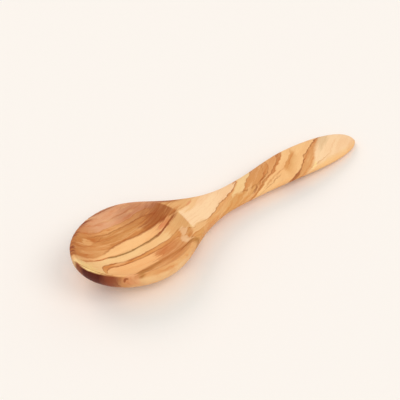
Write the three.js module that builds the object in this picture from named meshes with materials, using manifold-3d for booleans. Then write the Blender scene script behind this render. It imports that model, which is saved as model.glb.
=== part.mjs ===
// A rice ladle carved from one piece of olive wood: an oval bowl, a slim neck and an arched handle.
// It lies along X with the bowl towards -X, and rests on a flat under the belly and on the handle's end, at Z = 0.
import * as THREE from 'three';
import { mergeVertices } from 'three/addons/utils/BufferGeometryUtils.js';
import Module from 'manifold-3d';

// Driving dimensions, in millimetres.

// Plan: lengths from the nose of the bowl to the end of the handle, and the widths that they join.
const NOSE_TO_WIDEST = 40.5;
const WIDEST_TO_NECK = 70.5;
const NECK_TO_GRIP = 59;
const GRIP_TO_END = 40;
const BOWL_WIDTH = 68;
const NECK_WIDTH = 17.8;
const GRIP_WIDTH = 26.5;

// Side view, measured from the belly with the rim level: the handle rises to a crest and droops to its end.
const RIM_HEIGHT = 20;
const NECK_RISE = 2.8;
const NECK_TO_CREST = 54;
const CREST_RISE = 4.8;
const END_DROP = 5.8;
const NECK_THICKNESS = 10.6;
const GRIP_THICKNESS = 9.8;

// Underside: the bowl curves up from its belly to the nose and to the neck. The foot is a flat sanded on the belly.
const NOSE_TO_BELLY = 46;
const NOSE_TO_HEEL = 79.5;
const FOOT_CUT = 1.3;

// Hollow of the bowl: its walls at the rim, its length and depth, and the edge eased by sanding.
const SIDE_WALL = 3;
const NOSE_WALL = 2.6;
const HOLLOW_LENGTH = 71.5;
const HOLLOW_DEPTH = 13.5;
const RIM_EDGE = 2;
const EASED_LIP = 0.8;

// Shape of the curves: how far each curve runs on before it turns.
const NOSE_FULLNESS = 0.52;
const SHOULDER_LEAD = 0.38;
const NECK_LEAD = 0.51;
const HANDLE_LEAD = 0.47;
const END_FULLNESS = 0.62;
const KEEL_FULLNESS = 0.64;
const BELLY_LEAD = 0.66;
const UNDERNECK_LEAD = 0.32;
const ELLIPSE = 0.5523;
const HEEL_FULLNESS = 0.58;
const HEEL_BLUNTNESS = 0.74;
const EVEN_LEAD = 1 / 3;
const HANDLE_SLOPE = 0.072;
const DISH_POWER = 3;

// Fineness of the surface.
const STATIONS = 68;
const SECTION_POINTS = 40;
const SPOKES = 64;
const HOLLOW_RINGS = 10;
const HALVINGS = 40;

// Places along the ladle, from the nose.
const NECK_X = NOSE_TO_WIDEST + WIDEST_TO_NECK;
const GRIP_X = NECK_X + NECK_TO_GRIP;
const CREST_X = NECK_X + NECK_TO_CREST;
const LENGTH = GRIP_X + GRIP_TO_END;
const HOLLOW_END_X = NOSE_WALL + HOLLOW_LENGTH;

// Heights above the belly.
const NOSE_Z = RIM_HEIGHT - RIM_EDGE;
const NECK_Z = RIM_HEIGHT + NECK_RISE;
const CREST_Z = NECK_Z + CREST_RISE;
const END_Z = CREST_Z - END_DROP;

// Cross-sections: rounded squares above and below the widest line, which lies at `waist` of the thickness.
const SECTIONS = [
  { x: NOSE_TO_WIDEST, waist: 0.92, top: 5, keel: 2.36 },
  { x: NOSE_TO_HEEL, waist: 0.82, top: 3.4, keel: 2 },
  { x: NECK_X, waist: 0.55, top: 2.4, keel: 2 },
  { x: GRIP_X, waist: 0.55, top: 2.4, keel: 2.3 },
];

const point = (x, y) => new THREE.Vector2(x, y);

// A curve between two points of a line, with a slope and a reach at each end.
function stretch(from, fromSlope, fromReach, to, toSlope, toReach) {
  const run = to.x - from.x;
  const lead = fromReach * run;
  const tail = toReach * run;
  return new THREE.CubicBezierCurve(
    from,
    point(from.x + lead, from.y + lead * fromSlope),
    point(to.x - tail, to.y - tail * toSlope),
    to,
  );
}

// A quarter round from an end of the ladle, where the line stands upright, to a level stretch.
function quarterRound(end, level, fullness) {
  return new THREE.CubicBezierCurve(
    end,
    point(end.x, end.y + fullness * (level.y - end.y)),
    point(level.x + fullness * (end.x - level.x), level.y),
    level,
  );
}

const reversed = ({ v0, v1, v2, v3 }) => new THREE.CubicBezierCurve(v3, v2, v1, v0);

// The same curve on the other side of the ladle's middle line.
function mirrored({ v0, v1, v2, v3 }) {
  return new THREE.CubicBezierCurve(...[v0, v1, v2, v3].map(({ x, y }) => point(x, -y)));
}

// Half of the outline seen from above.
function planLine() {
  const widest = point(NOSE_TO_WIDEST, BOWL_WIDTH / 2);
  const neck = point(NECK_X, NECK_WIDTH / 2);
  const grip = point(GRIP_X, GRIP_WIDTH / 2);
  return [
    quarterRound(point(0, 0), widest, NOSE_FULLNESS),
    stretch(widest, 0, SHOULDER_LEAD, neck, 0, NECK_LEAD),
    stretch(neck, 0, HANDLE_LEAD, grip, 0, HANDLE_LEAD),
    reversed(quarterRound(point(LENGTH, 0), grip, END_FULLNESS)),
  ];
}

// The top edge seen from the side: a level rim, the rising neck, the crest and the drooping end.
function topLine() {
  const rim = point(RIM_EDGE, RIM_HEIGHT);
  const neck = point(NECK_X, NECK_Z);
  const crest = point(CREST_X, CREST_Z);
  return [
    quarterRound(point(0, NOSE_Z), rim, ELLIPSE),
    stretch(rim, 0, EVEN_LEAD, neck, HANDLE_SLOPE, EVEN_LEAD),
    stretch(neck, HANDLE_SLOPE, EVEN_LEAD, crest, 0, EVEN_LEAD),
    reversed(quarterRound(point(LENGTH, END_Z), crest, END_FULLNESS)),
  ];
}

// The bottom edge seen from the side.
function keelLine() {
  const belly = point(NOSE_TO_BELLY, 0);
  const neck = point(NECK_X, NECK_Z - NECK_THICKNESS);
  const grip = point(CREST_X, CREST_Z - GRIP_THICKNESS);
  return [
    quarterRound(point(0, NOSE_Z), belly, KEEL_FULLNESS),
    stretch(belly, 0, BELLY_LEAD, neck, HANDLE_SLOPE, UNDERNECK_LEAD),
    stretch(neck, HANDLE_SLOPE, EVEN_LEAD, grip, 0, EVEN_LEAD),
    reversed(quarterRound(point(LENGTH, END_Z), grip, END_FULLNESS)),
  ];
}

// The height of a line at x. Each of its curves runs forward in x, so halving finds the place.
function heightAt(line, x) {
  const curve = line.find((piece) => x <= piece.v3.x) ?? line.at(-1);
  let low = 0;
  let high = 1;
  for (let step = 0; step < HALVINGS; step += 1) {
    const middle = (low + high) / 2;
    if (curve.getPoint(middle).x < x) low = middle;
    else high = middle;
  }
  return curve.getPoint((low + high) / 2).y;
}

// Places along half of the outline where the ladle is cut across.
function stations() {
  const outline = new THREE.CurvePath();
  planLine().forEach((curve) => outline.add(curve));
  return outline.getSpacedPoints(STATIONS).slice(1, -1);
}

// The table seen from the side: a straight line that touches the handle's end and takes FOOT_CUT off the belly.
function tableLine() {
  const keel = keelLine();
  const underside = stations().map(({ x }) => point(x, heightAt(keel, x)));
  const belly = underside.filter(({ x }) => x < NECK_X).map(({ x, y }) => point(x, y + FOOT_CUT));
  const handle = underside.filter(({ x }) => x > NECK_X);
  const climb = (from, to) => (to.y - from.y) / (to.x - from.x);
  const steepest = (to) => Math.max(...belly.map((from) => climb(from, to)));
  const slope = Math.min(...handle.map(steepest));
  const level = Math.min(...handle.map(({ x, y }) => y - slope * x));
  return { slope, level };
}

// The cross-section's shape at x, passing smoothly from one of SECTIONS to the next.
function sectionAt(x) {
  const next = SECTIONS.find((section) => x < section.x) ?? SECTIONS.at(-1);
  const last = SECTIONS[Math.max(SECTIONS.indexOf(next) - 1, 0)];
  const share = THREE.MathUtils.smoothstep(x, last.x, next.x);
  const pass = (key) => THREE.MathUtils.lerp(last[key], next[key], last === next ? 0 : share);
  return { waist: pass('waist'), top: pass('top'), keel: pass('keel') };
}

const signedPower = (value, power) => Math.sign(value) * Math.abs(value) ** power;

// One ring of points round the ladle at x.
function ring(x, halfWidth, topZ, keelZ) {
  const section = sectionAt(x);
  const waistZ = THREE.MathUtils.lerp(keelZ, topZ, section.waist);
  const points = [];
  for (let step = 0; step < SECTION_POINTS; step += 1) {
    const angle = (2 * Math.PI * step) / SECTION_POINTS;
    const upper = Math.sin(angle) >= 0;
    const power = 2 / (upper ? section.top : section.keel);
    const reach = upper ? topZ - waistZ : waistZ - keelZ;
    const y = halfWidth * signedPower(Math.cos(angle), power);
    const z = waistZ + reach * signedPower(Math.sin(angle), power);
    points.push(new THREE.Vector3(x, y, z));
  }
  return points;
}

// A closed surface over rings of equal count, drawn to a point at each end.
function skin(startPole, rings, endPole) {
  const count = rings[0].length;
  const vertices = [startPole, ...rings.flat(), endPole];
  const endIndex = vertices.length - 1;
  const at = (ringIndex, step) => 1 + ringIndex * count + (step % count);
  const faces = [];
  for (let step = 0; step < count; step += 1) {
    faces.push(0, at(0, step + 1), at(0, step));
    for (let index = 0; index + 1 < rings.length; index += 1) {
      faces.push(at(index, step), at(index, step + 1), at(index + 1, step + 1));
      faces.push(at(index, step), at(index + 1, step + 1), at(index + 1, step));
    }
    faces.push(at(rings.length - 1, step), at(rings.length - 1, step + 1), endIndex);
  }
  const geometry = new THREE.BufferGeometry().setFromPoints(vertices);
  geometry.setIndex(faces);
  return geometry;
}

// The blank: the whole ladle before it is hollowed.
function blank() {
  const top = topLine();
  const keel = keelLine();
  const rings = stations().map(({ x, y }) => ring(x, y, heightAt(top, x), heightAt(keel, x)));
  return skin(new THREE.Vector3(0, 0, NOSE_Z), rings, new THREE.Vector3(LENGTH, 0, END_Z));
}

// The hollow's outline at the rim: it keeps its wall to the bowl's outline and ends in a blunt heel.
function hollowOutline() {
  const nose = point(NOSE_WALL, 0);
  const side = point(NOSE_TO_WIDEST, BOWL_WIDTH / 2 - SIDE_WALL);
  const heel = new THREE.CubicBezierCurve(
    side,
    point(THREE.MathUtils.lerp(side.x, HOLLOW_END_X, HEEL_FULLNESS), side.y),
    point(HOLLOW_END_X, HEEL_BLUNTNESS * side.y),
    point(HOLLOW_END_X, 0),
  );
  const front = quarterRound(nose, side, NOSE_FULLNESS);
  const path = new THREE.CurvePath();
  [mirrored(front), mirrored(heel), reversed(heel), reversed(front)].forEach((curve) => path.add(curve));
  return path.getSpacedPoints(SPOKES).slice(0, SPOKES);
}

// The wood that is carved out: a dished body whose mouth flares over the rim and reaches above it.
function scoop() {
  const top = topLine();
  const outline = hollowOutline();
  const centre = point((NOSE_WALL + HOLLOW_END_X) / 2, 0);
  const aboveAll = CREST_Z + RIM_HEIGHT;

  const dish = (share) => outline.map((edge) => {
    const { x, y } = centre.clone().lerp(edge, share);
    const depth = EASED_LIP + (HOLLOW_DEPTH - EASED_LIP) * (1 - share ** DISH_POWER);
    return new THREE.Vector3(x, y, heightAt(top, x) - depth);
  });

  const flare = (offset, height) => outline.map((edge, index) => {
    const before = outline.at(index - 1);
    const after = outline[(index + 1) % SPOKES];
    const along = after.clone().sub(before).normalize();
    const x = edge.x + along.y * offset;
    const y = edge.y - along.x * offset;
    return new THREE.Vector3(x, y, height(edge.x));
  });

  const mouthReach = 2 * EASED_LIP;
  const rings = [];
  for (let index = 1; index <= HOLLOW_RINGS; index += 1) rings.push(dish(index / HOLLOW_RINGS));
  rings.push(flare(mouthReach, (x) => heightAt(top, x) + EASED_LIP));
  rings.push(flare(mouthReach, () => aboveAll));
  const deepest = new THREE.Vector3(centre.x, 0, heightAt(top, centre.x) - HOLLOW_DEPTH);
  return skin(deepest, rings, new THREE.Vector3(centre.x, 0, aboveAll));
}

// The wood of the belly below the table, taken off to leave the flat foot.
function underTable({ slope, level }) {
  const block = new THREE.BoxGeometry(2 * NECK_X, 2 * BOWL_WIDTH, RIM_HEIGHT);
  block.translate(0, 0, -RIM_HEIGHT / 2);
  return block.rotateY(-Math.atan(slope)).translate(0, 0, level);
}

const wasm = await Module();
wasm.setup();

// A solid from a closed surface.
function solid(geometry) {
  const bare = geometry.clone();
  bare.deleteAttribute('normal');
  bare.deleteAttribute('uv');
  const merged = mergeVertices(bare);
  const vertProperties = Float32Array.from(merged.attributes.position.array);
  const triVerts = Uint32Array.from(merged.index.array);
  return new wasm.Manifold(new wasm.Mesh({ numProp: 3, vertProperties, triVerts }));
}

function surface(body) {
  const mesh = body.getMesh();
  const geometry = new THREE.BufferGeometry();
  geometry.setAttribute('position', new THREE.BufferAttribute(mesh.vertProperties, mesh.numProp));
  geometry.setIndex(new THREE.BufferAttribute(mesh.triVerts, 1));
  geometry.computeVertexNormals();
  return geometry;
}

const oliveWood = new THREE.MeshStandardMaterial({ color: 0xd2a067, roughness: 0.48, metalness: 0 });

// The ladle, leaned back until the table is level, with the middle of its box over the origin.
function ladle() {
  const table = tableLine();
  const carved = solid(blank()).subtract(solid(scoop())).subtract(solid(underTable(table)));
  const mesh = new THREE.Mesh(surface(carved), oliveWood);
  mesh.name = 'ladle';
  mesh.rotation.y = Math.atan(table.slope);
  const box = new THREE.Box3().setFromObject(mesh, true);
  mesh.position.set(-box.getCenter(new THREE.Vector3()).x, 0, -box.min.z);
  return mesh;
}

const part = new THREE.Group();
part.add(ladle());

export default part;
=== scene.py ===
from math import cos, radians, sin
from typing import NamedTuple

import bmesh
import bpy
import numpy as np
from mathutils import Matrix, Vector


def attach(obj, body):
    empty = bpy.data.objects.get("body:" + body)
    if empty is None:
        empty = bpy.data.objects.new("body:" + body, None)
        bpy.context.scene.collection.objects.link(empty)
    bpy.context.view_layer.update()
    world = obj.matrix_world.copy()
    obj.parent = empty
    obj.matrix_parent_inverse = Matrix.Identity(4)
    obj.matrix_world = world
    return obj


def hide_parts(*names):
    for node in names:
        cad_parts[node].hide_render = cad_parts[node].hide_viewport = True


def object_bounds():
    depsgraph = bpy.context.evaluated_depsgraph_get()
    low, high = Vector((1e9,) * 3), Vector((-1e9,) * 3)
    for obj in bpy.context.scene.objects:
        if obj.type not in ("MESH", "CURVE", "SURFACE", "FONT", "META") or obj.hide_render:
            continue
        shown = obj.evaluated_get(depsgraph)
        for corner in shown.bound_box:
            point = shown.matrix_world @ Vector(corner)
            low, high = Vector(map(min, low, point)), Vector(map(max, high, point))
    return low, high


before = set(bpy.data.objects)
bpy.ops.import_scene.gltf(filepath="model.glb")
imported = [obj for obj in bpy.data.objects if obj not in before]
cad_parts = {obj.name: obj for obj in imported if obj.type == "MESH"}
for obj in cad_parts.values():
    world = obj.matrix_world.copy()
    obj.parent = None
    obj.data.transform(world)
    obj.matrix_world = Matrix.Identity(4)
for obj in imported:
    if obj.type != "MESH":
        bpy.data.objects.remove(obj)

cad_low, cad_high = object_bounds()

MM = 0.001

# The blank: measured from the nose with the rim level, as it was carved, and leaned back on the table
LENGTH = 210.0
LEAN = radians(7.14)
NOSE_PLACE = Vector((-106.636, 0.0, 5.952)) * MM
BLANK = Matrix.Translation(NOSE_PLACE) @ Matrix.Rotation(LEAN, 4, "Y")

# Camera, read from the photograph's perspective of the blank
CAMERA_ELEVATION = 38.0
CAMERA_AZIMUTH = 35.4
CAMERA_DISTANCE = 0.7686
CAMERA_AIM = Vector((107.1, 27.4, 0.0)) * MM
CAMERA_LENS = 108.0
SENSOR_WIDTH = 36.0

# Sanded surface of the wood
VOXEL = 0.55 * MM
SMOOTH_ROUNDS = 26
EDGE_ROUNDS = 5
TAUBIN_IN = 0.5
TAUBIN_OUT = -0.526
CREASE_START = 0.05
CREASE_FULL = 0.16
CREASE_SPREAD = 3
WELD = 0.001 * MM


def srgb(red, green, blue):
    """Linear colour of a colour given as it shows on screen, 0 to 255 a channel."""
    channels = [value / 255 for value in (red, green, blue)]
    linear = [c / 12.92 if c <= 0.04045 else ((c + 0.055) / 1.055) ** 2.4 for c in channels]
    return (*linear, 1.0)


# Tones of the olive wood, some also used for painted light, shade and sheen
TONES = {
    "rose": srgb(230, 171, 128),
    "apricot": srgb(241, 187, 125),
    "tan": srgb(212, 148, 86),
    "peach": srgb(249, 198, 136),
    "cream": srgb(246, 206, 146),
    "shell": srgb(252, 212, 164),
    "butter": srgb(255, 220, 148),
    "wheat": srgb(246, 198, 140),
    "sand": srgb(226, 188, 140),
    "salmon": srgb(230, 150, 102),
    "honey": srgb(224, 162, 96),
    "amber": srgb(232, 172, 110),
    "biscuit": srgb(219, 153, 90),
    "ginger": srgb(206, 134, 74),
    "rust": srgb(200, 116, 58),
    "chestnut": srgb(160, 84, 42),
    "cocoa": srgb(194, 134, 72),
    "umber": srgb(174, 106, 54),
    "olive": srgb(146, 102, 46),
    "brick": srgb(140, 66, 40),
    "plum": srgb(90, 28, 16),
}

# How the grain flows: along the bowl, then slanting across the neck and the handle
FLOW = [
    (0, 0), (60, 0), (75, 1.5), (90, 6), (105, 14), (120, 24), (140, 38), (160, 52), (180, 66),
    (210, 87),
]

# Half of what the curves of the flow and of the routes span, and the fade of a vein's ends
FLOW_REACH = 100.0
ROUTE_REACH = 45.0
SPAN_FADE = 4.0

# Waver of the layers, and of the edges of stains
SLOW_WAVE = 2.4
QUICK_WAVE = 1.5
HANDLE_WAVE = 3.4
EDGE_BREAK = 1.8

# Top edge of the ladle seen from the side
TOP = [
    (0, 20), (40, 20), (60, 20.5), (75, 20.9), (90, 21.6), (111, 22.8), (138, 25.7), (165, 27.6),
    (190, 26.6), (203, 24.6), (210, 21.8),
]

# Depth below that edge at which the painted shade and stains of the hollow start and are full
HOLLOW_EDGE = (0.2, 0.8)

# Lean of the layers on the flanks of the handle
FLANK_DEPTH = 2.0
FLANK_LEAN = 1.0
FLANK_START = 80.0
FLANK_FULL = 105.0


class Vein(NamedTuple):
    """A boundary between two growth layers, and the wood on its near side, in millimetres."""

    route: list
    tone: str = None
    feather: float = 0.35
    line: float = 0.0
    width: float = 0.5
    swell: float = 0.5
    ink: str = "umber"
    far_shade: float = 0.0
    far_reach: float = 3.0
    near_shade: float = 0.0
    near_reach: float = 4.0
    shade: str = "ginger"
    span: tuple = (-10, 220)


# Routes run from the nose to the end of the handle: distance from the nose, then place across the ladle
NECK_VEIN = [
    (84, -12.2), (90, -9.6), (96, -6.6), (100, -4.4), (104, -3.2), (108, -1.6), (112, 0), (115, 2),
    (117, 3.6), (119, 6), (122, 12), (135, 40),
]
OLIVE_VEIN = [
    (0, 3.6), (10, 4.4), (20, 4.9), (34, 4.2), (42, 4.1), (50, 4.4), (60, 4.3), (66, 5), (70, 5.6),
    (74, 5.4), (80, 5.3), (84, 6.3), (88, 9), (92, 10.5), (100, 13), (130, 40),
]
GRIP_VEIN = [
    (104, -42), (118, -21), (125, -13), (132, -9.2), (137, -7.4), (141.3, -6.1), (145.6, -5),
    (149, -3.6), (152.5, -1.6), (156, 0.8), (160, 4.4), (164, 9), (168, 14), (178, 30), (190, 40),
]

# Veins from the far side to the near side, and along the handle
VEINS = [
    # Far side of the bowl
    Vein(
        [(0, 26), (20, 26.5), (40, 27.5), (60, 26), (100, 20)],
        line=0.35, ink="ginger", span=(22, 60),
    ),
    Vein(
        [(0, 22), (15, 22.5), (27, 23), (36, 23.8), (50, 23.6), (60, 23), (68, 19), (100, 14)],
        "amber", feather=0.6, line=0.6, width=0.6, ink="ginger", span=(18, 62),
    ),
    Vein(
        [(0, 20), (20, 21), (30, 21.4), (50, 21.3), (58, 20.6), (68, 16), (100, 14)],
        "tan", line=0.7, width=0.7, span=(22, 62),
    ),
    Vein(
        [(0, 17), (30, 17.6), (45, 18), (60, 17.5), (100, 17)],
        line=0.35, width=0.4, span=(30, 60),
    ),
    Vein(
        [(0, 15), (10, 15.5), (15, 15.8), (20, 16.4), (25, 18.2), (29, 20.2), (60, 30)],
        line=0.7, width=0.4, span=(12, 28),
    ),
    Vein(
        [(0, 14), (24, 14.7), (60, 15), (100, 15)],
        line=0.5, width=0.6, ink="apricot", span=(24, 60),
    ),
    Vein(
        [
            (0, 7), (12, 7.4), (20, 8), (25, 9.2), (30, 11.2), (35, 12.6), (40, 13.2), (50, 12.5),
            (60, 11.8), (66, 10.4), (72, 7), (80, 5.3), (88, 9), (100, 13),
        ],
        "peach", feather=0.5, line=0.85, width=1.1, far_shade=0.65, span=(26, 73),
    ),
    # Middle of the bowl
    Vein(OLIVE_VEIN, "cream", line=0.9, width=1.3, ink="olive", span=(26, 58)),
    Vein(OLIVE_VEIN, line=0.85, width=1.0, ink="rust", span=(8, 22)),
    Vein(OLIVE_VEIN, line=0.8, width=0.6, span=(77, 92)),
    Vein([(70, -42), (73.5, -20), (75, 5.3), *OLIVE_VEIN[10:]], "shell", feather=0.3),
    # The double band by the middle, which bends into the neck
    Vein(
        [
            (0, -44), (10, -30), (12, -17), (13.5, -10), (15, -5), (16.5, -2), (18, -0.7),
            (20, -0.2), (24, -0.6), (28, -1.7), (34, -2.6), (44, -3), (50, -2.7), (56, -3),
            (62, -3.9), (69, -4.6), (70.5, -6.5), (72, -10), (73.5, -13.8), (76, -12.3), *NECK_VEIN,
        ],
        "honey", line=0.75, width=0.8,
    ),
    Vein(
        [(70, -42), (76, -24), (80, -15), *NECK_VEIN],
        "amber", line=0.35, width=0.7, span=(88, 118),
    ),
    Vein(
        [
            (0, -44), (10, -30), (12.3, -17.5), (15, -10.5), (17, -6.5), (19, -4.7), (22, -4),
            (28, -4.3), (36, -5), (46, -5.4), (52, -6), (58, -6.8), (64, -7.2), (65.5, -7.8),
            (66.5, -10), (67.2, -15), (68.5, -19), (74, -24), (90, -24), (110, -24), (150, -42),
        ],
        "peach", line=0.7, width=0.8,
    ),
    Vein(
        [
            (0, -44), (10, -38), (16, -33), (21, -29), (24, -24.5), (27, -20.5), (32, -17.3),
            (36, -15.8), (42, -15.2), (50, -15), (58, -16), (64, -18), (72, -22), (90, -24),
            (150, -42),
        ],
        "cocoa", feather=0.9,
    ),
    Vein(
        [
            (0, -46), (18, -38), (25, -33), (29, -29), (32, -25.5), (34, -23.2), (37, -21.3),
            (42, -19.5), (50, -19), (58, -20), (66, -23), (74, -26), (90, -28), (150, -42),
        ],
        "amber", feather=2.2,
    ),
    # Neck
    Vein(
        [
            (100, -42), (107, -8), (109, -3.5), (112, -1.2), (115, 0.8), (117, 2.6), (119, 5),
            (121, 8.5), (126, 20), (140, 40),
        ],
        "cream", feather=0.9,
    ),
    Vein(
        [
            (102, -42), (113, -9), (116, -5.5), (118, -4), (121, -1), (124, 1.6), (127, 3.6),
            (130, 6.2), (132, 8.7), (138, 16), (155, 40),
        ],
        "biscuit", line=0.6, width=0.7,
    ),
    Vein(
        [(112, -42), (126, -12), (131, -6), (135, -2), (138, 3), (140, 8), (150, 30)],
        line=0.5, width=0.7, span=(128, 140),
    ),
    Vein(
        [
            (90, -42), (96, -13), (102, -8), (108, -4.6), (113, -4.2), (118, -5), (124, -5.2),
            (130, -4.2), (135, -2.8), (139, -1), (143, 2), (147, 6), (152, 14), (168, 40),
        ],
        "honey", feather=1.3, line=0.7, width=0.8, span=(118, 139),
    ),
    # Grip
    Vein(
        [
            (84, -42), (106, -16), (120, -9), (128, -5.6), (134, -3.6), (138, -1.6), (141, 1),
            (143, 4), (144.5, 8), (146, 12), (152, 24), (162, 40),
        ],
        "amber", feather=0.5, line=0.6, width=0.6, span=(122, 220),
    ),
    Vein(
        [
            (98, -42), (114, -18), (122, -11), (130, -6.4), (136, -4.2), (141, -2), (145, 0.8),
            (149, 3.8), (151.5, 6.4), (153, 9), (155, 13), (160, 24), (170, 40),
        ],
        "ginger", line=0.6, width=0.6, span=(126, 220),
    ),
    Vein(
        [
            (100, -42), (116, -19), (124, -11.4), (132, -7), (137, -5.2), (141.5, -3.6),
            (146, -0.4), (149.6, 2), (153, 4.4), (156, 7.2), (158.5, 10.4), (162, 15), (170, 27),
            (180, 40),
        ],
        "peach", feather=0.4,
    ),
    Vein(GRIP_VEIN, "peach", line=0.55, width=0.7, ink="ginger", span=(132, 157)),
    Vein(GRIP_VEIN, near_shade=1.0, near_reach=11.0, shade="honey", span=(151, 162)),
    Vein(
        [
            (108, -42), (120, -20), (126, -14), (131, -11), (136, -9.4), (142, -8), (146, -7.2),
            (150, -6), (160, 0),
        ],
        line=0.5, width=0.7, span=(122, 142),
    ),
    Vein(
        [
            (134, -42), (147, -16.5), (151, -14.2), (155, -11.8), (158, -10.2), (160.7, -8.4),
            (163, -6.5), (165, -4), (166, -2), (168.5, -1), (172, 0.9), (175, 3.2), (179, 5.4),
            (184, 8), (189, 10.6), (193, 14), (205, 40),
        ],
        "amber", line=0.9, width=0.9, near_shade=0.4, near_reach=8.0,
    ),
    Vein(
        [
            (148, -42), (160, -17), (164, -14), (167, -11.8), (170, -8.8), (174, -3.5), (178, 0.5),
            (182, 3.5), (186, 6.5), (192, 11), (200, 20), (208, 40),
        ],
        "shell", feather=2.0,
    ),
    Vein(
        [
            (140, -42), (158, -19), (166, -14), (174, -12.2), (184, -11), (194, -9.8), (202, -7.4),
            (207, -4), (210, 0),
        ],
        "peach", feather=2.2,
    ),
    Vein(
        [(150, -16), (160, -14), (168, -12.2), (176, -10.4), (180, -9), (190, -4), (205, 4)],
        line=0.5, width=0.6, ink="ginger", span=(166, 180),
    ),
]

# Lines drawn over the stains: along the near rim by the nose, and into the far corner of the heel
LAST_LINES = [
    Vein(
        [
            (0, 4), (1.2, -1.6), (2.3, -5.3), (4, -9.5), (6, -13.5), (8.3, -17.3), (10.9, -20.6),
            (15, -25), (25, -34), (60, -42),
        ],
        line=0.65, width=1.8, swell=0.1, span=(2, 10),
    ),
    Vein(OLIVE_VEIN, line=0.95, width=1.5, ink="chestnut", span=(61, 71)),
]


class StainAndShading(NamedTuple):
    """A patch of other wood, drawn out along the grain, in millimetres from the nose; a few are painted
    shade and painted light instead.
    """

    centre: tuple
    radii: tuple
    tone: str
    strength: float
    edge: float = 0.4
    hollow: bool = False


STAINS_AND_SHADING = [
    # Neck and handle
    StainAndShading((84, 11, 22), (12, 7, 6), "apricot", 0.7, 0.6),
    StainAndShading((84, 7.5, 22), (2.5, 0.8, 4), "salmon", 0.6, 0.8),
    StainAndShading((118, 6.5, 23), (2.2, 1.2, 4), "ginger", 0.7, 0.6),
    StainAndShading((125, -7, 21), (3, 0.8, 4), "chestnut", 0.6, 0.8),
    StainAndShading((121, -5.6, 23), (5, 1.1, 5), "apricot", 0.8, 0.7),
    StainAndShading((153, -13.8, 23), (4.5, 1.8, 6), "chestnut", 0.7, 0.7),
    StainAndShading((181.5, 6, 25), (2, 0.8, 5), "rust", 0.5, 0.8),
    StainAndShading((189, 6, 25), (9, 4, 6), "sand", 0.7, 0.9),
    StainAndShading((168, -12, 22), (4, 1.2, 5), "butter", 0.7, 0.5),
    # Bowl
    # Far heel inside the hollow: darker red-brown wood with painted shade, ending sharp at the rim
    StainAndShading((71, 16, 16), (14.5, 9, 12), "chestnut", 0.75, 0.8, hollow=True),
    StainAndShading((53, 24, 17), (11, 6, 8), "chestnut", 0.4, 0.9, hollow=True),
    StainAndShading((6, 12, 15), (13, 8, 9), "rust", 0.45, 0.9),
    StainAndShading((13, 22, 17), (14, 8, 9), "ginger", 0.65, 0.9),
    StainAndShading((18, 13.5, 9), (11, 5.5, 9), "amber", 0.6, 0.9),
    StainAndShading((18.5, 18.4, 13.5), (4, 2, 5), "apricot", 0.8, 0.5),
    # Painted light on the inner wall of the near nose, which faces away from the lamps
    StainAndShading((7, -9, 17), (8, 11, 6), "butter", 0.95, 0.9),
    StainAndShading((60, 12.5, 13), (11, 2, 7), "umber", 0.5, 0.9),
    StainAndShading((68, 7.6, 12), (6, 1.4, 5), "salmon", 0.8, 0.5),
    # Painted shade: amber that dims the brightly lit crest of the near rim by the nose
    StainAndShading((14, -24, 19.5), (9, 7, 2.5), "apricot", 0.7, 0.9),
    StainAndShading((58.5, -13.5, 11), (11, 9, 9), "ginger", 0.6, 0.35),
    StainAndShading((57.5, -10.5, 9), (9, 4, 7), "ginger", 0.6, 0.35),
    StainAndShading((54, -9, 9), (3.5, 1.6, 5), "rust", 0.4, 0.9),
    StainAndShading((39, -27, 18), (9, 4, 4), "tan", 0.35, 0.9),
    # Honey over the heel's inner wall: painted shade where it faces away from the lamps, partly the wood's
    # own tone
    StainAndShading((72, -4, 16), (10, 13, 7), "honey", 0.6, 0.5, hollow=True),
    StainAndShading((69.6, -8, 16.4), (1.9, 4, 6), "shell", 0.6, 0.5),
    StainAndShading((66.8, -14, 15.8), (1.9, 4, 6), "shell", 0.65, 0.5),
    StainAndShading((28, -2.6, 8), (7, 0.9, 6), "wheat", 0.55, 0.9),
    StainAndShading((77, -13.8, 20.4), (7, 2.6, 5), "wheat", 0.65, 0.7),
]

# Small knot in the near wall, a crooked mark in warmer wood
KNOT = [
    StainAndShading((20.5, -28, 16.5), (5, 4, 5), "salmon", 0.5, 0.9),
    StainAndShading((17.2, -27, 18.4), (1.2, 1.3, 0.6), "chestnut", 0.85, 1.0),
    StainAndShading((16.4, -26.4, 17.0), (0.6, 1.2, 1.3), "chestnut", 0.9, 1.0),
]


class CutAndLight(NamedTuple):
    """Wood, or pale wood lightened as painted light, that the near outside of the bowl cuts into, from the
    nose to its reach along the ladle.
    """

    tone: str
    strength: float
    reach: float
    fade: float
    start: float
    top: float = 20.0
    edge: float = 0.6


# Outside of the bowl, an oval narrowing below the rim: pale wood and painted light, dark heartwood at the
# nose
BOWL_MIDDLE = 40.5
BOWL_HALF_WIDTH = 34.0
RIM_LEVEL = 20.0
SKIN_INNER = 0.90
SKIN_OUTER = 0.95
SKIN_BREAK = 10.0
CUTS_AND_LIGHT = [
    # Pale wheat on the near wall, lightened as painted bounce light from the floor
    CutAndLight("wheat", 0.85, 52.0, 14.0, -6.0, top=19.5, edge=3.0),
    CutAndLight("ginger", 0.75, 16.0, 9.0, 3.0),
    CutAndLight("brick", 0.9, 11.0, 6.0, 3.0),
    CutAndLight("plum", 0.95, 4.0, 7.0, -3.0),
]
CUT_FADE = 4.0

# Dark edge of the far rim: where it starts and is full, outward, across, along and up, then its streaks
FAR_EDGE = (0.78, 0.90)
FAR_SIDE = (3.0, 12.0)
FAR_END = (54.0, 42.0)
FAR_HEIGHT = (6.0, 19.0)
FAR_STREAKS = (0.42, 0.58, 0.3, 0.85)


class Noise(NamedTuple):
    """A noise in the wood, whose pace along the ladle is a share of its pace across it."""

    pace: float
    scale: float
    detail: float
    roughness: float = 0.5


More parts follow.
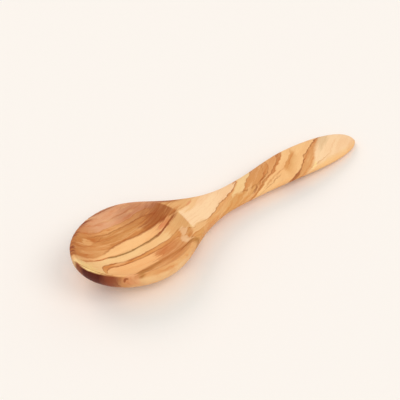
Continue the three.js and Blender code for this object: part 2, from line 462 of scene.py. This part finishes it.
# Noises: two that bend the layers, then four that mark the wood along them
NOISE_MIDDLE = 0.5
SLOW_BEND = Noise(0.35, 0.16, 2.0)
QUICK_BEND = Noise(0.6, 0.45, 3.0, 0.65)
GROWTH = Noise(0.025, 0.9, 4.0, 0.6)
FIBRE = Noise(0.06, 5.0, 3.0, 0.6)
CLOUD = Noise(0.4, 0.08, 2.0)
FLAKE = Noise(0.12, 0.55, 3.0, 0.6)
UPRIGHT_PACE = 0.1

# Figure of the wood: where a noise or the lightness starts and ends, then the strength at each
FIGURE_SHOWN = (0.65, 0.35, 0.25, 1.0)
GROWTH_LINES = (0.5, 0.72, 0.0, 0.5)
FLAKES = (0.52, 0.7, 0.0, 0.45)
FLECKS = (0.46, 0.32, 0.0, 0.35)
FIBRES = (0.5, 0.8, 0.0, 0.25)
CLOUDS = (0.4, 0.7, 0.0, 0.2)

# Growth over which a vein's line swells, and the lightness of the wood that has flecks, with its fade
LINE_GROWTH = (0.3, 0.7)
FLECKED_WOOD = (0.35, 0.5, 0.15)

# Oiled finish, rougher along the fibres
FIBRE_ROUGHNESS = (0.2, 0.8, 0.40, 0.56)
FIBRE_BUMP = 0.12
FIBRE_DEPTH = 0.1 * MM
WOOD_IOR = 1.45
WOOD_SPECULAR = 0.1

# Sockets of the Mix node that take and give colours
MIX_FACTOR = 0
MIX_FIRST = 6
MIX_SECOND = 7
MIX_RESULT = 2


class Shader:
    """Adds nodes to one material and links them as they are named."""

    def __init__(self, name):
        self.material = bpy.data.materials.new(name)
        self.material.use_nodes = True
        self.tree = self.material.node_tree
        self.surface = self.tree.nodes["Principled BSDF"]

    def feed(self, socket, value):
        """Links a socket to another one, or sets its value."""
        if isinstance(value, bpy.types.NodeSocket):
            self.tree.links.new(value, socket)
        else:
            socket.default_value = value

    def add(self, kind, **settings):
        node = self.tree.nodes.new(kind)
        for key, value in settings.items():
            setattr(node, key, value)
        return node

    def math(self, operation, *values):
        node = self.add("ShaderNodeMath", operation=operation)
        for socket, value in zip(node.inputs, values):
            self.feed(socket, value)
        return node.outputs[0]

    def times(self, product, *factors):
        for factor in factors:
            product = self.math("MULTIPLY", product, factor)
        return product

    def waver(self, value, noise, reach):
        """A value that a noise moves to and fro within its reach."""
        return self.math("MULTIPLY_ADD", self.math("SUBTRACT", noise, NOISE_MIDDLE), reach, value)

    def vector(self, x, y, z):
        node = self.add("ShaderNodeCombineXYZ")
        for socket, value in zip(node.inputs, (x, y, z)):
            self.feed(socket, value)
        return node.outputs[0]

    def ramp(self, value, start, end, low=0.0, high=1.0):
        """Smooth step of value from low, at start, to high, at end."""
        node = self.add("ShaderNodeMapRange", interpolation_type="SMOOTHSTEP")
        for socket, given in zip(node.inputs, (value, start, end, low, high)):
            self.feed(socket, given)
        return node.outputs[0]

    def within(self, value, start, end, fade):
        """1 between start and end, fading to 0 outside them."""
        return self.times(self.ramp(value, start - fade, start), self.ramp(value, end + fade, end))

    def mix(self, factor, first, second, blend="MIX"):
        node = self.add("ShaderNodeMix", data_type="RGBA", blend_type=blend)
        self.feed(node.inputs[MIX_FACTOR], factor)
        self.feed(node.inputs[MIX_FIRST], first)
        self.feed(node.inputs[MIX_SECOND], second)
        return node.outputs[MIX_RESULT]

    def noise(self, kind, along, across, height):
        node = self.add("ShaderNodeTexNoise")
        self.feed(node.inputs["Vector"], self.vector(self.times(along, kind.pace), across, height))
        node.inputs["Scale"].default_value = kind.scale
        node.inputs["Detail"].default_value = kind.detail
        node.inputs["Roughness"].default_value = kind.roughness
        return node.outputs["Fac"]

    def curve(self, value, points):
        """A smooth curve through given points, all within 0 to 1."""
        node = self.add("ShaderNodeFloatCurve")
        line = node.mapping.curves[0]
        while len(line.points) < len(points):
            line.points.new(0.5, 0.5)
        for point, place in zip(line.points, points):
            point.location = place
            point.handle_type = "AUTO_CLAMPED"
        node.mapping.extend = "HORIZONTAL"
        node.mapping.update()
        self.feed(node.inputs["Value"], value)
        return node.outputs[0]


class Grain(NamedTuple):
    """Places in the blank, in millimetres, and the noises that mark it."""

    along: object
    across: object
    height: object
    depth: object
    share: object
    layer: object
    ring: object
    growth: object
    fibre: object
    cloud: object
    flake: object


def route_height(s, share, route, reach):
    """A route's height at the shaded point's share of the ladle's length."""
    points = [(x / LENGTH, 0.5 + y / (2 * reach)) for x, y in route]
    return s.math("MULTIPLY_ADD", s.curve(share, points), 2 * reach, -reach)


def read_grain(s):
    """Sets up the layers, which waver along the ladle, and the noises that flow with them."""
    blank = s.add("ShaderNodeMapping", vector_type="TEXTURE")
    s.feed(blank.inputs["Vector"], s.add("ShaderNodeTexCoord").outputs["Object"])
    blank.inputs["Location"].default_value = NOSE_PLACE
    blank.inputs["Rotation"].default_value = (0.0, LEAN, 0.0)
    blank.inputs["Scale"].default_value = (MM, MM, MM)
    place = s.add("ShaderNodeSeparateXYZ")
    s.feed(place.inputs[0], blank.outputs[0])
    along, across, height = place.outputs
    share = s.math("DIVIDE", along, LENGTH)
    flow = route_height(s, share, FLOW, FLOW_REACH)
    depth = s.math("SUBTRACT", route_height(s, share, TOP, ROUTE_REACH), height)
    flank = s.math("MAXIMUM", s.math("SUBTRACT", depth, FLANK_DEPTH), 0.0)
    lean = s.times(flank, s.ramp(along, FLANK_START, FLANK_FULL, 0.0, FLANK_LEAN))

    slow = s.noise(SLOW_BEND, along, across, height)
    quick = s.noise(QUICK_BEND, along, across, height)
    quick_wave = s.ramp(along, FLANK_START, FLANK_FULL, QUICK_WAVE, HANDLE_WAVE)
    layer = s.waver(s.math("SUBTRACT", across, lean), slow, SLOW_WAVE)
    layer = s.waver(layer, quick, quick_wave)
    ring = s.math("SUBTRACT", layer, flow)

    low = s.times(height, UPRIGHT_PACE)
    growth = s.noise(GROWTH, along, ring, low)
    fibre = s.noise(FIBRE, along, ring, height)
    cloud = s.noise(CLOUD, along, ring, height)
    flake = s.noise(FLAKE, along, ring, low)
    return Grain(along, across, height, depth, share, layer, ring, growth, fibre, cloud, flake)


def paint_vein(s, grain, vein, colour):
    """Changes the tone on the near side of a vein, with its shading and its dark line."""
    gap = s.math("SUBTRACT", grain.layer, route_height(s, grain.share, vein.route, ROUTE_REACH))
    near_side = s.ramp(gap, vein.feather, -vein.feather)
    present = s.within(grain.along, *vein.span, SPAN_FADE)
    if vein.far_shade:
        far = s.times(s.ramp(gap, vein.far_reach, 0.0), present, vein.far_shade)
        colour = s.mix(far, colour, TONES[vein.shade])
    if vein.tone:
        colour = s.mix(near_side, colour, TONES[vein.tone])
    if vein.near_shade:
        near = s.times(s.ramp(gap, -vein.near_reach, 0.0), near_side, present, vein.near_shade)
        colour = s.mix(near, colour, TONES[vein.shade])
    if vein.line:
        thinnest = vein.width * (1 - vein.swell)
        thickest = vein.width * (1 + vein.swell)
        thick = s.ramp(grain.growth, *LINE_GROWTH, thinnest, thickest)
        line = s.ramp(s.math("DIVIDE", s.math("ABSOLUTE", gap), thick), 1.0, 0.0)
        colour = s.mix(s.times(line, present, vein.line), colour, TONES[vein.ink])
    return colour


def paint_stain_and_shading(s, grain, stain_or_shading, colour):
    """Lays one patch over the layers, its edges broken into streaks."""
    x, y, z = stain_or_shading.centre
    flow = float(np.interp(x, *zip(*FLOW)))
    places = (grain.along, grain.ring, grain.height)
    offset = [
        s.math("DIVIDE", s.math("SUBTRACT", place, middle), radius)
        for place, middle, radius in zip(places, (x, y - flow, z), stain_or_shading.radii)
    ]
    length = s.add("ShaderNodeVectorMath", operation="LENGTH")
    s.feed(length.inputs[0], s.vector(*offset))
    ragged = s.waver(length.outputs["Value"], grain.flake, EDGE_BREAK)
    cover = s.ramp(ragged, 1.0 + stain_or_shading.edge / 2, 1.0 - stain_or_shading.edge / 2)
    if stain_or_shading.hollow:
        cover = s.times(cover, s.ramp(grain.depth, *HOLLOW_EDGE))
    return s.mix(s.times(cover, stain_or_shading.strength), colour, TONES[stain_or_shading.tone])


def paint_heartwood_and_light(s, grain, colour):
    """Cuts other wood, and painted light on the pale near wall, into the near outside of the bowl, and
    darkens the edge of the far rim.
    """
    offsets = [
        s.math("DIVIDE", s.math("SUBTRACT", grain.along, BOWL_MIDDLE), BOWL_MIDDLE),
        s.math("DIVIDE", grain.across, BOWL_HALF_WIDTH),
        s.math("DIVIDE", s.math("SUBTRACT", RIM_LEVEL, grain.height), RIM_LEVEL),
    ]
    length, width, depth = [s.math("POWER", offset, 2.0) for offset in offsets]
    plan = s.math("ADD", length, width)
    skin = s.ramp(s.math("ADD", plan, depth), SKIN_INNER, SKIN_OUTER)
    ragged = s.waver(grain.along, grain.flake, SKIN_BREAK)
    for cut_or_light in CUTS_AND_LIGHT:
        reach = s.ramp(ragged, cut_or_light.reach + cut_or_light.fade, cut_or_light.reach)
        near = s.ramp(grain.across, cut_or_light.start, cut_or_light.start - CUT_FADE)
        below = s.ramp(grain.height, cut_or_light.top, cut_or_light.top - cut_or_light.edge)
        colour = s.mix(s.times(reach, near, below, skin, cut_or_light.strength), colour, TONES[cut_or_light.tone])
    edge = s.times(
        s.ramp(plan, *FAR_EDGE),
        s.ramp(grain.across, *FAR_SIDE),
        s.ramp(grain.along, *FAR_END),
        s.ramp(grain.height, *FAR_HEIGHT),
        s.ramp(grain.growth, *FAR_STREAKS),
    )
    return s.mix(edge, colour, TONES["brick"])


def olive_wood():
    """Oiled olive wood, its layers running through the whole blank, with some painted light, shade and
    sheen in its colour.
    """
    s = Shader("olive_wood")
    grain = read_grain(s)
    # The far side starts in rose: pink wood, lightened a little as painted sheen on the far inner wall
    colour = TONES["rose"]
    for vein in VEINS:
        colour = paint_vein(s, grain, vein, colour)
    for stain_or_shading in STAINS_AND_SHADING:
        colour = paint_stain_and_shading(s, grain, stain_or_shading, colour)
    for line in LAST_LINES:
        colour = paint_vein(s, grain, line, colour)
    colour = paint_heartwood_and_light(s, grain, colour)
    for mark in KNOT:
        colour = paint_stain_and_shading(s, grain, mark, colour)

    # Growth lines and flakes that show less in the pale wood, then flecks, fibres and drifts of tone
    to_grey = s.add("ShaderNodeRGBToBW")
    s.feed(to_grey.inputs[0], colour)
    lightness = to_grey.outputs[0]
    figure = s.ramp(lightness, *FIGURE_SHOWN)
    lines = s.times(s.ramp(grain.growth, *GROWTH_LINES), figure)
    flakes = s.times(s.ramp(grain.flake, *FLAKES), figure)
    flecks = s.times(s.ramp(grain.flake, *FLECKS), s.within(lightness, *FLECKED_WOOD))
    colour = s.mix(lines, colour, TONES["biscuit"], "MULTIPLY")
    colour = s.mix(flakes, colour, TONES["amber"], "MULTIPLY")
    colour = s.mix(flecks, colour, TONES["wheat"])
    colour = s.mix(s.ramp(grain.fibre, *FIBRES), colour, TONES["tan"], "MULTIPLY")
    colour = s.mix(s.ramp(grain.cloud, *CLOUDS), colour, TONES["amber"], "MULTIPLY")

    bump = s.add("ShaderNodeBump")
    bump.inputs["Strength"].default_value = FIBRE_BUMP
    bump.inputs["Distance"].default_value = FIBRE_DEPTH
    s.feed(bump.inputs["Height"], grain.fibre)
    s.feed(s.surface.inputs["Base Color"], colour)
    s.feed(s.surface.inputs["Roughness"], s.ramp(grain.fibre, *FIBRE_ROUGHNESS))
    s.feed(s.surface.inputs["Normal"], bump.outputs["Normal"])
    s.surface.inputs["IOR"].default_value = WOOD_IOR
    s.surface.inputs["Specular IOR Level"].default_value = WOOD_SPECULAR
    return s.material


def add_object(name, data):
    made = bpy.data.objects.new(name, data)
    bpy.context.scene.collection.objects.link(made)
    return made


def sand(mesh):
    """Smooths away the facets, and the sharp edges only a little, without shrinking the form."""
    count = len(mesh.vertices)
    points = np.empty(count * 3)
    mesh.vertices.foreach_get("co", points)
    points = points.reshape(count, 3)
    ends = np.empty(len(mesh.edges) * 2, dtype=np.int32)
    mesh.edges.foreach_get("vertices", ends)
    first, second = ends.reshape(-1, 2).T
    neighbours = np.bincount(first, minlength=count) + np.bincount(second, minlength=count)

    def average(values):
        """Mean of the values at each point's neighbours."""
        total = np.empty_like(values)
        for column in range(values.shape[1]):
            total[:, column] = np.bincount(first, values[second, column], count)
            total[:, column] += np.bincount(second, values[first, column], count)
        return total / neighbours[:, None]

    weight = np.ones((count, 1))
    for turn in range(SMOOTH_ROUNDS):
        if turn == EDGE_ROUNDS:
            pull = np.linalg.norm(average(points) - points, axis=1, keepdims=True) / VOXEL
            sharp = np.clip((pull - CREASE_START) / (CREASE_FULL - CREASE_START), 0, 1)
            for _ in range(CREASE_SPREAD):
                sharp = np.maximum(sharp, average(sharp))
            weight = 1 - sharp
        for step in (TAUBIN_IN, TAUBIN_OUT):
            points = points + step * weight * (average(points) - points)
    points = np.clip(points, np.array(cad_low), np.array(cad_high))
    mesh.vertices.foreach_set("co", points.ravel())
    mesh.update()


def carved_ladle(material):
    """The ladle's solid with its facets sanded smooth."""
    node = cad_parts["ladle"]
    source = add_object("source", node.data.copy())
    shell = bmesh.new()
    shell.from_mesh(source.data)
    bmesh.ops.remove_doubles(shell, verts=shell.verts, dist=WELD)
    shell.to_mesh(source.data)
    shell.free()
    remesh = source.modifiers.new("remesh", "REMESH")
    remesh.mode = "VOXEL"
    remesh.voxel_size = VOXEL
    graph = bpy.context.evaluated_depsgraph_get()
    mesh = bpy.data.meshes.new_from_object(source.evaluated_get(graph))
    bpy.data.objects.remove(source)
    sand(mesh)
    mesh.shade_smooth()
    mesh.materials.clear()
    mesh.materials.append(material)
    ladle = add_object("carved_ladle", mesh)
    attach(ladle, "root")
    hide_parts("ladle")


# Studio
FLOOR_SIZE = 8.0
FLOOR_DROP = 0.03 * MM
FLOOR_COLOUR = srgb(250, 243, 235)
FLOOR_ROUGHNESS = 0.9
FLOOR_SPECULAR = 0.1
WORLD_COLOUR = (0.83, 1.01, 1.10, 1.0)
WORLD_STRENGTH = 0.59
FRONT_COLOUR = (1.12, 1.0, 0.94)
BACK_COLOUR = (1.47, 0.945, 0.71)
LAMP_SPREAD = radians(34.0)

# Lamps: name, azimuth and elevation in degrees, power, colour
LAMPS = [
    ("front_left", 240.0, 48.0, 0.65, FRONT_COLOUR),
    ("front_right", 300.0, 45.0, 0.70, FRONT_COLOUR),
    ("back", 90.0, 40.0, 0.60, BACK_COLOUR),
]


def floor():
    """A sheet of pale paper, just under the ladle."""
    paper = Shader("paper")
    paper.surface.inputs["Base Color"].default_value = FLOOR_COLOUR
    paper.surface.inputs["Roughness"].default_value = FLOOR_ROUGHNESS
    paper.surface.inputs["Specular IOR Level"].default_value = FLOOR_SPECULAR
    half = FLOOR_SIZE / 2
    corners = [(x, y, -FLOOR_DROP) for x, y in ((-half, -half), (half, -half), (half, half), (-half, half))]
    mesh = bpy.data.meshes.new("floor")
    mesh.from_pydata(corners, [], [(0, 1, 2, 3)])
    mesh.materials.append(paper.material)
    table = add_object("floor", mesh)


def lights():
    """A dim, cool room with wide, soft lamps in front and behind."""
    world = bpy.data.worlds.new("studio")
    bpy.context.scene.world = world
    world.use_nodes = True
    sky = world.node_tree.nodes["Background"]
    sky.inputs["Color"].default_value = WORLD_COLOUR
    sky.inputs["Strength"].default_value = WORLD_STRENGTH
    for name, azimuth, elevation, power, colour in LAMPS:
        data = bpy.data.lights.new(name, "SUN")
        data.angle = LAMP_SPREAD
        data.energy = power
        data.color = colour
        turn = radians(azimuth)
        rise = radians(elevation)
        away = Vector((cos(turn) * cos(rise), sin(turn) * cos(rise), sin(rise)))
        lamp = add_object(name, data)
        lamp.rotation_euler = (-away).to_track_quat("-Z", "Y").to_euler()


def camera():
    """The photograph's view, aimed at a place on the level blank and leaned back with it."""
    data = bpy.data.cameras.new("camera")
    data.lens = CAMERA_LENS
    data.sensor_width = SENSOR_WIDTH
    rise = radians(CAMERA_ELEVATION)
    turn = radians(CAMERA_AZIMUTH)
    back = Vector((-sin(turn) * cos(rise), -cos(turn) * cos(rise), sin(rise)))
    place = Matrix.Translation(CAMERA_AIM + back * CAMERA_DISTANCE)
    look = (-back).to_track_quat("-Z", "Y").to_matrix().to_4x4()
    viewer = add_object("camera", data)
    viewer.matrix_world = BLANK @ place @ look
    bpy.context.scene.camera = viewer


camera()
lights()
floor()
carved_ladle(olive_wood())
bpy.context.scene.view_settings.view_transform = "Standard"
